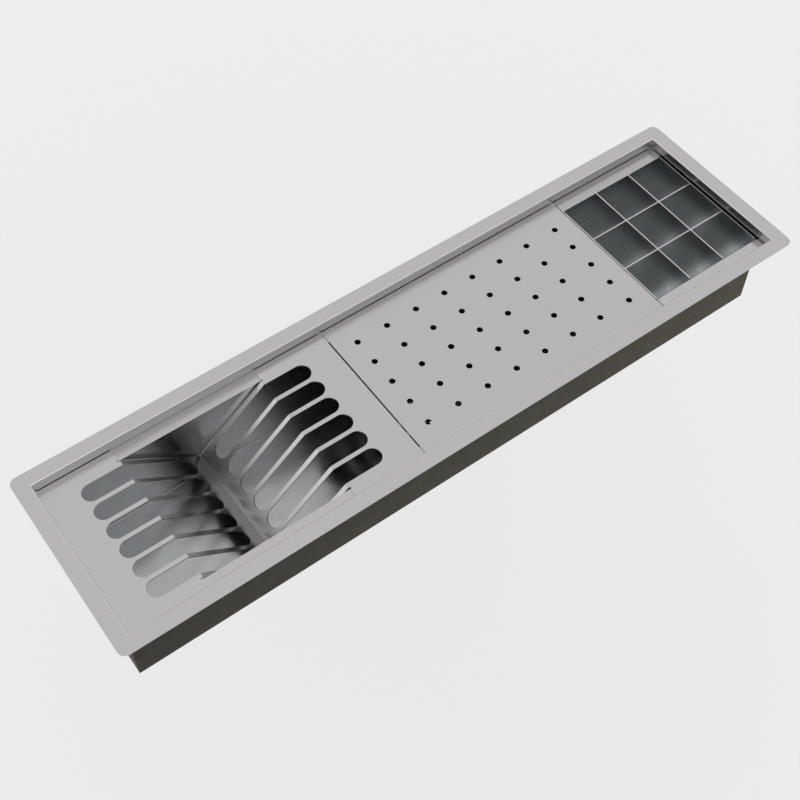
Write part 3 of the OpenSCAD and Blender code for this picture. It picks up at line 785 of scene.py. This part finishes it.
def make_coat():
    """Thin coat over the tank's outside: two walls, the floor with a bare disc, and two ends."""
    coat = settings().coat
    reach, half = END_HIGH.x, TANK_HIGH.y
    under, top = END_LOW.z, TANK_HIGH.z - coat.top_gap
    bend, bend_step = 0.0022, 15
    patch, patch_steps, run_steps = coat.bare_radius * 1.2, 10, 8
    patch_stops = even_stops(-patch, patch, patch_steps)
    arc = [(half - bend + bend * math.sin(turn), under + bend - bend * math.cos(turn))
           for turn in (math.radians(degrees) for degrees in range(bend_step, 90, bend_step))]
    right = [(half - bend, under), *arc, (half, under + bend), (half, (under + top) / 2), (half, top)]
    section = [(-y, z) for y, z in reversed(right)] + [(y, under) for y in patch_stops] + right
    lengths = [DRAIN_CENTRE.x + stop for stop in patch_stops]
    lengths = (even_stops(-reach, lengths[0], run_steps)[:-1] + lengths
               + even_stops(lengths[-1], reach, run_steps)[1:])
    mesh = bmesh.new()
    grid = [[mesh.verts.new((x, y, z)) for y, z in section] for x in lengths]
    first_x, last_x = run_steps, run_steps + patch_steps
    first_y, last_y = len(right), len(right) + patch_steps
    for i in range(len(lengths) - 1):
        for j in range(len(section) - 1):
            if not (first_x <= i < last_x and first_y <= j < last_y):
                mesh.faces.new((grid[i][j], grid[i + 1][j], grid[i + 1][j + 1], grid[i][j + 1]))
    loop = [grid[i][first_y] for i in range(first_x, last_x)]
    loop += [grid[last_x][j] for j in range(first_y, last_y)]
    loop += [grid[i][last_y] for i in range(last_x, first_x, -1)]
    loop += [grid[first_x][j] for j in range(last_y, first_y, -1)]
    bare_disc(mesh, loop, coat.bare_radius, under)
    mesh.faces.new(list(reversed(grid[0])))
    mesh.faces.new(grid[-1])
    bmesh.ops.recalc_face_normals(mesh, faces=mesh.faces)
    # The coat's spread paints light along it: darker at the left end, lighter at the right
    material = moulded("undercoat", coat.tone, roughness=0.55, fleck=0.12, grain_size=0.0016, bump=0.0005,
                       specular=0.2, spread=0.5)
    piece = finish_piece("tank_undercoat", mesh, "trough", material)
    shell = piece.modifiers.new("thickness", "SOLIDIFY")
    shell.thickness = coat.thickness
    shell.offset = 1.0
    shell.use_even_offset = True


def make_welds():
    """Rippled beads along the seams between the ledges and the tank's walls, thinner at both ends."""
    steel = settings().steel
    half_x, half_y, seam_z = END_HIGH.x - 0.001, TANK_HIGH.y, TANK_HIGH.z
    rings_per_ripple, ripple_swell, uneven_swell, uneven_turn = 3, 0.12, 0.05, 0.71
    leg_share, end_share, end_rise = 0.8, 0.3, 6
    mesh = bmesh.new()
    for side in (-1, 1):
        start, end = Vector((-half_x, side * half_y, seam_z)), Vector((half_x, side * half_y, seam_z))
        count = round((end - start).length / steel.bead_ripple) * rings_per_ripple
        before = None
        for i in range(count + 1):
            share = i / count
            swell = (1.0 + ripple_swell * math.cos(2 * math.pi * i / rings_per_ripple)
                     + uneven_swell * math.sin(uneven_turn * i))
            taper = min(1.0, end_share + end_rise * min(share, 1 - share))
            leg = steel.bead_width * leg_share * swell * taper
            at = start.lerp(end, share)
            ring = [mesh.verts.new(at + Vector((0, side * leg * out, -leg * down)))
                    for out, down in BEAD_SECTION]
            if before:
                join_rings(mesh, before, ring)
            else:
                mesh.faces.new(ring)
            before = ring
        mesh.faces.new(list(reversed(before)))
    bmesh.ops.recalc_face_normals(mesh, faces=mesh.faces)
    finish_piece("ledge_welds", mesh, "trough", weld_steel("weld_steel"))


def thread_row(height, major, drain, fade):
    """Row of the drain's shank at one height: the thread's radius at every angle."""
    crest = 0.12

    def row(angle):
        turn = (height / drain.thread_pitch - angle / (2 * math.pi)) % 1.0
        valley = min(1.0, max(0.0, (abs(turn - 0.5) * 2 - crest) / (1 - 2 * crest)))
        return major - drain.thread_depth * valley * fade, height
    return row


def make_drain_body():
    """Turned drain: flange with a rolled edge and a machined groove, threaded shank and plain spigot."""
    drain = settings().drain
    flange, top, low = DRAIN_HIGH.x - DRAIN_CENTRE.x, DRAIN_HIGH.z, DRAIN_LOW.z
    under, seat = top - 0.0025, top - 0.0016
    shank, shank_low, bore, step = 0.0239, under - 0.024, 0.0215, 0.0245
    spigot, spigot_bore = 0.020, 0.018
    groove, groove_half, groove_depth = 0.0305, 0.0008, 0.0005
    rows = rounded_section([
        (bore, seat, 0.0004), (step, seat, 0.0002), (step, top, 0.0004),
        (groove - groove_half, top, 0), (groove, top - groove_depth, 0), (groove + groove_half, top, 0),
        (flange, top, 0.0015), (flange, under, 0.0004), (shank, under, 0)])
    thread_gap, rows_per_turn, chamfer_height = 0.0006, 8, 0.0016
    thread_high = under - thread_gap
    thread_length = thread_high - thread_gap - shank_low
    count = round(thread_length / (drain.thread_pitch / rows_per_turn))
    for i in range(count + 1):
        height = thread_high - thread_length * i / count
        chamfer = max(0.0, shank_low + chamfer_height - height) / 2
        rows.append(thread_row(height, shank - chamfer, drain, fade=min(1.0, i / rows_per_turn)))
    rows += rounded_section([
        (shank - 0.0015, shank_low, 0), (spigot, shank_low, 0.0006), (spigot, low, 0.0006),
        (spigot_bore, low, 0.0005), (spigot_bore, shank_low, 0.001),
        (bore, shank_low + bore - spigot_bore, 0.001)])
    material = turned_metal("polished_drain", drain.metal_tone, roughness=0.12)
    finish_piece("drain_body_turned", turned(rows, segments=96), "trough", material,
                 replaces="drain_body", sharp_angle=30.0)


def make_rings():
    """Upper and lower gasket squeezed outwards, and the slip washer with a soft edge."""
    rubber = moulded("ring_rubber", (0.028, 0.028, 0.029), roughness=0.55, fleck=0.15, grain_size=0.0007,
                     bump=0.00008)
    white = moulded("washer_plastic", (0.72, 0.72, 0.69), roughness=0.38, fleck=0.03, grain_size=0.0012,
                    bump=0.00004)
    soft_share, bulge_share = 0.22, 0.3
    for node, material, slot, bulge in (("drain_gasket_upper", rubber, "gasket_rubber", 0.0002),
                                        ("drain_gasket_lower", rubber, "gasket_rubber", 0.0006),
                                        ("drain_slip_washer", white, "washer_plastic", 0.0)):
        low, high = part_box(node)
        radius, thick = high.x - DRAIN_CENTRE.x, high.z - low.z
        soft = thick * soft_share
        rows = rounded_section([
            (SHANK_HOLE, low.z, soft), (radius - bulge, low.z, soft),
            (radius, (low.z + high.z) / 2, thick * bulge_share if bulge else 0),
            (radius - bulge, high.z, soft), (SHANK_HOLE, high.z, soft)])
        finish_piece(node + "_moulded", turned(rows, segments=96), "trough", material,
                     replaces=node)


def make_lock_nut():
    """Moulded six-sided lock nut with chamfered corners and fine grip ribs all round."""
    drain = settings().drain
    low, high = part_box("drain_lock_nut")
    flats, corner, rib_height = (high.y - low.y) / 2, 0.0348, 0.00035

    def row(height, inset, limit=math.inf):
        def outline(angle):
            side = flats / math.cos((angle % (math.pi / 3)) - math.pi / 6)
            rib = 0 if inset else rib_height * wave(drain.nut_ribs, angle)
            return min(side, corner, limit) - inset - rib, height
        return outline

    rows = [(SHANK_HOLE + 0.0008, low.z), row(low.z, 0.0003, flats),
            row(low.z + 0.0004, 0, flats + 0.0006), row(low.z + 0.002, 0),
            row(high.z - 0.0012, 0), row(high.z - 0.0006, 0.0001), row(high.z, 0.0006),
            (SHANK_HOLE + 0.0004, high.z), (SHANK_HOLE, high.z - 0.0004), (SHANK_HOLE, low.z + 0.0008)]
    material = moulded("nut_plastic", (0.70, 0.70, 0.67), roughness=0.42, fleck=0.04, grain_size=0.0015,
                       bump=0.00006)
    finish_piece("drain_lock_nut_moulded", turned(rows, segments=216), "trough", material,
                 replaces="drain_lock_nut", sharp_angle=25.0)


def make_knob():
    """Turned strainer knob: a foot, a waisted stem and a fluted head with a dished top."""
    drain = settings().drain
    low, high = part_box("strainer_knob")
    head, stem, head_low, flute_depth = (high.x - low.x) / 2, 0.0025, high.z - 0.006, 0.0004

    def fluted(height):
        def row(angle):
            return head - flute_depth * wave(drain.knob_flutes, angle), height
        return row

    rows = [(0.0, low.z), (stem, low.z), (stem, low.z + 0.001), (stem * 0.8, low.z + 0.004),
            (stem * 0.75, (low.z + head_low) / 2), (stem * 0.85, head_low - 0.003), (stem, head_low),
            (head - 0.002, head_low), (head - 0.0009, head_low + 0.0004), fluted(head_low + 0.0014),
            fluted(high.z - 0.0016), (head - 0.0006, high.z - 0.0006), (head - 0.0016, high.z),
            (head - 0.0026, high.z - 0.0001), (head * 0.4, high.z - 0.0007), (0.0, high.z - 0.0008)]
    material = turned_metal("knob_steel", (0.55, 0.55, 0.56), roughness=0.16)
    finish_piece("strainer_knob_turned", turned(rows, segments=144), "strainer",
                 material, replaces="strainer_knob")


# Operators

class TROUGH_OT_stage(Operator):
    """Sets the camera, the floor and the light"""

    bl_idname = "trough.stage"
    bl_label = "Stage"

    def execute(self, context):
        make_stage()
        return {"FINISHED"}


class TROUGH_OT_rim(Operator):
    """Brushes the rim and its recess, and welds the ledges to the tank"""

    bl_idname = "trough.rim"
    bl_label = "Rim"

    def execute(self, context):
        steel = settings().steel
        give_finish(brushed_steel("rim_steel", steel.rim_tone, "X", steel.rim_roughness, rim_painted_light),
                    "rim_frame")
        make_welds()
        return {"FINISHED"}


class TROUGH_OT_tank(Operator):
    """Brushes the tank inside and coats it outside"""

    bl_idname = "trough.tank"
    bl_label = "Tank"

    def execute(self, context):
        steel = settings().steel
        look = {"tone": steel.tank_tone, "roughness": steel.tank_roughness, "painted_light": tank_painted_shade,
                "anisotropy": steel.tank_anisotropy}
        give_finish(brushed_steel("tank_steel", grain_axis="X", **look), "tank_trough")
        give_finish(brushed_steel("tank_end_steel", grain_axis="Y", **look),
                    "tank_end_left", "tank_end_right")
        make_coat()
        return {"FINISHED"}


class TROUGH_OT_plate_rack(Operator):
    """Brushes the folded plate rack"""

    bl_idname = "trough.plate_rack"
    bl_label = "Plate Rack"

    def execute(self, context):
        steel = settings().steel
        give_finish(brushed_steel("rack_steel", steel.insert_tone, "X", steel.rack_roughness, rack_painted_light),
                    "plate_rack")
        return {"FINISHED"}


class TROUGH_OT_drip_cover(Operator):
    """Brushes the drip cover"""

    bl_idname = "trough.drip_cover"
    bl_label = "Drip Cover"

    def execute(self, context):
        steel = settings().steel
        give_finish(brushed_steel("cover_steel", steel.insert_tone, "X", steel.rim_roughness, cover_painted_shade),
                    "drip_cover")
        return {"FINISHED"}


class TROUGH_OT_divided_box(Operator):
    """Brushes the divided box and its dividers"""

    bl_idname = "trough.divided_box"
    bl_label = "Divided Box"

    def execute(self, context):
        steel = settings().steel
        look = {"tone": steel.insert_tone, "inner_tone": steel.box_tone, "roughness": steel.box_roughness}
        give_finish(brushed_steel("box_steel", grain_axis="X", painted_light=box_painted_light, **look), "box_trough")
        give_finish(brushed_steel("long_divider_steel", grain_axis="X", painted_light=divider_painted_light, **look),
                    "divider_long_front", "divider_long_back")
        give_finish(brushed_steel("cross_divider_steel", grain_axis="Y", painted_light=divider_painted_light, **look),
                    "box_end_left", "box_end_right", "divider_cross_left", "divider_cross_right")
        return {"FINISHED"}


class TROUGH_OT_drain(Operator):
    """Makes the drain body, its gaskets, the slip washer and the lock nut"""

    bl_idname = "trough.drain"
    bl_label = "Drain"

    def execute(self, context):
        make_drain_body()
        make_rings()
        make_lock_nut()
        return {"FINISHED"}


class TROUGH_OT_strainer(Operator):
    """Finishes the lift-out strainer and makes its knob"""

    bl_idname = "trough.strainer"
    bl_label = "Strainer"

    def execute(self, context):
        tone = settings().drain.metal_tone
        give_finish(turned_metal("strainer_steel", tone, roughness=0.16), "drain_strainer")
        make_knob()
        return {"FINISHED"}


GROUPS = (StageSettings, SteelSettings, CoatSettings, DrainSettings, TroughSettings)
STEPS = (TROUGH_OT_stage, TROUGH_OT_rim, TROUGH_OT_tank, TROUGH_OT_plate_rack, TROUGH_OT_drip_cover,
         TROUGH_OT_divided_box, TROUGH_OT_drain, TROUGH_OT_strainer)


class TROUGH_PT_build(Panel):
    """Lists the steps that dress the trough and the values behind them"""

    bl_idname = "TROUGH_PT_build"
    bl_label = "Wet Trough"
    bl_space_type = "VIEW_3D"
    bl_region_type = "UI"
    bl_category = "Wet Trough"

    def draw(self, context):
        steps = self.layout.column(align=True)
        for step in STEPS:
            steps.operator(step.bl_idname)
        for title, group in (("Stage", settings().stage), ("Steel", settings().steel),
                             ("Coat", settings().coat), ("Drain", settings().drain)):
            box = self.layout.box()
            box.label(text=title)
            for name in type(group).__annotations__:
                box.prop(group, name)


CLASSES = GROUPS + STEPS + (TROUGH_PT_build,)


def register():
    for cls in CLASSES:
        bpy.utils.register_class(cls)
    bpy.types.Scene.wet_trough = PointerProperty(type=TroughSettings)


def unregister():
    del bpy.types.Scene.wet_trough
    for cls in reversed(CLASSES):
        bpy.utils.unregister_class(cls)


def main():
    register()
    bpy.ops.trough.stage()
    bpy.ops.trough.rim()
    bpy.ops.trough.tank()
    bpy.ops.trough.plate_rack()
    bpy.ops.trough.drip_cover()
    bpy.ops.trough.divided_box()
    bpy.ops.trough.drain()
    bpy.ops.trough.strainer()


if __name__ == "__main__":
    main()
